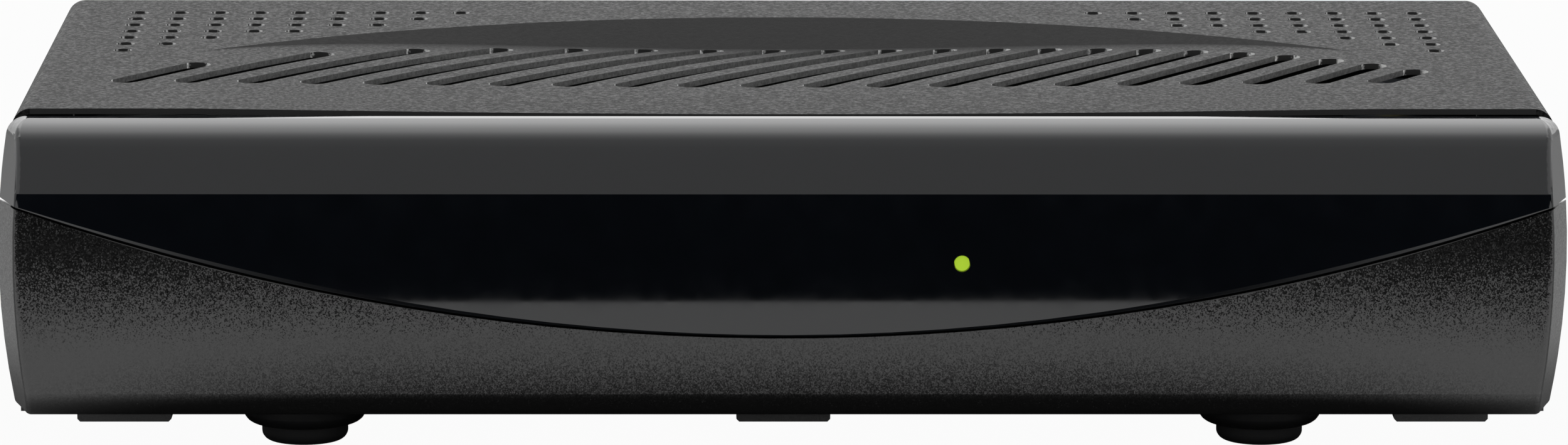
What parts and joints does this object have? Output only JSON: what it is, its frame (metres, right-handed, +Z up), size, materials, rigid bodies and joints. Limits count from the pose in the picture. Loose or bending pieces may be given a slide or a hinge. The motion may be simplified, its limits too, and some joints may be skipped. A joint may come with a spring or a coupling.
{
  "type": "satellite television receiver",
  "caption": "Low box-shaped satellite television receiver with a curved split front moulding, slotted dished steel cover, rubber feet, rear sockets and a rocker power switch.",
  "frame": {"origin": "middle of the object's overall footprint, on the surface the rubber feet stand on", "axes": "+X to the right seen from the front, +Y from the front moulding to the rear connectors, +Z up"},
  "size_m": [0.22, 0.1238, 0.0482],
  "materials": {
    "smoked_window": "glossy smoked black, almost opaque",
    "front_grey": "satin dark grey with a fine metallic fleck",
    "inner_black": "plain black moulding",
    "light_green": "clear yellow-green light guide",
    "board_green": "green lacquered board",
    "board_brown": "brown single-sided board",
    "led_white": "small clear light-emitting diode",
    "cover_paint": "satin dark grey powder coat",
    "tray_steel": "black painted sheet steel",
    "foot_rubber": "black rubber",
    "black_screw": "blackened steel",
    "zinc_steel": "zinc-plated steel",
    "brass_part": "plain brass",
    "chip_black": "black moulding compound",
    "sink_aluminium": "plain extruded aluminium",
    "can_aluminium": "printed capacitor can",
    "tinned_steel": "bright tinned sheet",
    "nickel_plate": "bright nickel plate",
    "core_red": "red insulator",
    "core_white": "white insulator",
    "core_orange": "orange insulator",
    "rocker_black": "glossy black rocker",
    "sheet_clear": "translucent insulating film",
    "ferrite_grey": "grey ferrite",
    "winding_yellow": "yellow tape and box film capacitor",
    "fuse_glass": "glass tube with metal end caps",
    "cable_grey": "grey flat cable",
    "wire_red": "red insulated wire"
  },
  "bodies": {
    "receiver": {"front_window": "smoked_window", "lower_fascia": "front_grey", "front_carrier": "inner_black", "light_pipe": "light_green", "front_board": "board_green", "status_led": "led_white", "infrared_receiver": "inner_black", "top_cover": "cover_paint", "chassis_tray": "tray_steel", "rubber_feet": "foot_rubber", "cover_screws": "black_screw", "board_standoffs": "brass_part", "board_screws": "zinc_steel", "main_board": "board_green", "signal_chip": "chip_black", "chip_heat_sink": "sink_aluminium", "memory_chips": "chip_black", "small_capacitors": "can_aluminium", "tuner_can": "tinned_steel", "tuner_lid": "tinned_steel", "antenna_connectors": "nickel_plate", "antenna_washers": "nickel_plate", "antenna_nuts": "nickel_plate", "hdmi_socket": "nickel_plate", "scart_socket": "inner_black", "phono_block": "inner_black", "phono_core_red": "core_red", "phono_core_white": "core_white", "phono_core_orange": "core_orange", "phono_sleeves": "nickel_plate", "mains_inlet": "inner_black", "inlet_pins": "brass_part", "switch_housing": "inner_black", "switch_terminals": "brass_part", "power_board": "board_brown", "insulating_sheet": "sheet_clear", "bulk_capacitor": "can_aluminium", "transformer_core": "ferrite_grey", "transformer_winding": "winding_yellow", "power_heat_sink": "sink_aluminium", "power_transistor": "chip_black", "mains_choke": "ferrite_grey", "safety_capacitor": "winding_yellow", "mains_fuse": "fuse_glass", "output_capacitors": "can_aluminium", "ribbon_cable": "cable_grey", "power_wires": "wire_red"},
    "rocker": {"switch_rocker": "rocker_black"}
  },
  "joints": [
    {"name": "power_switch", "type": "hinge", "parent": "receiver", "child": "rocker", "pos_m": [0.0665, 0.0527, 0.025], "axis": [-1, 0, 0], "range_deg": [0, 20]}
  ]
}
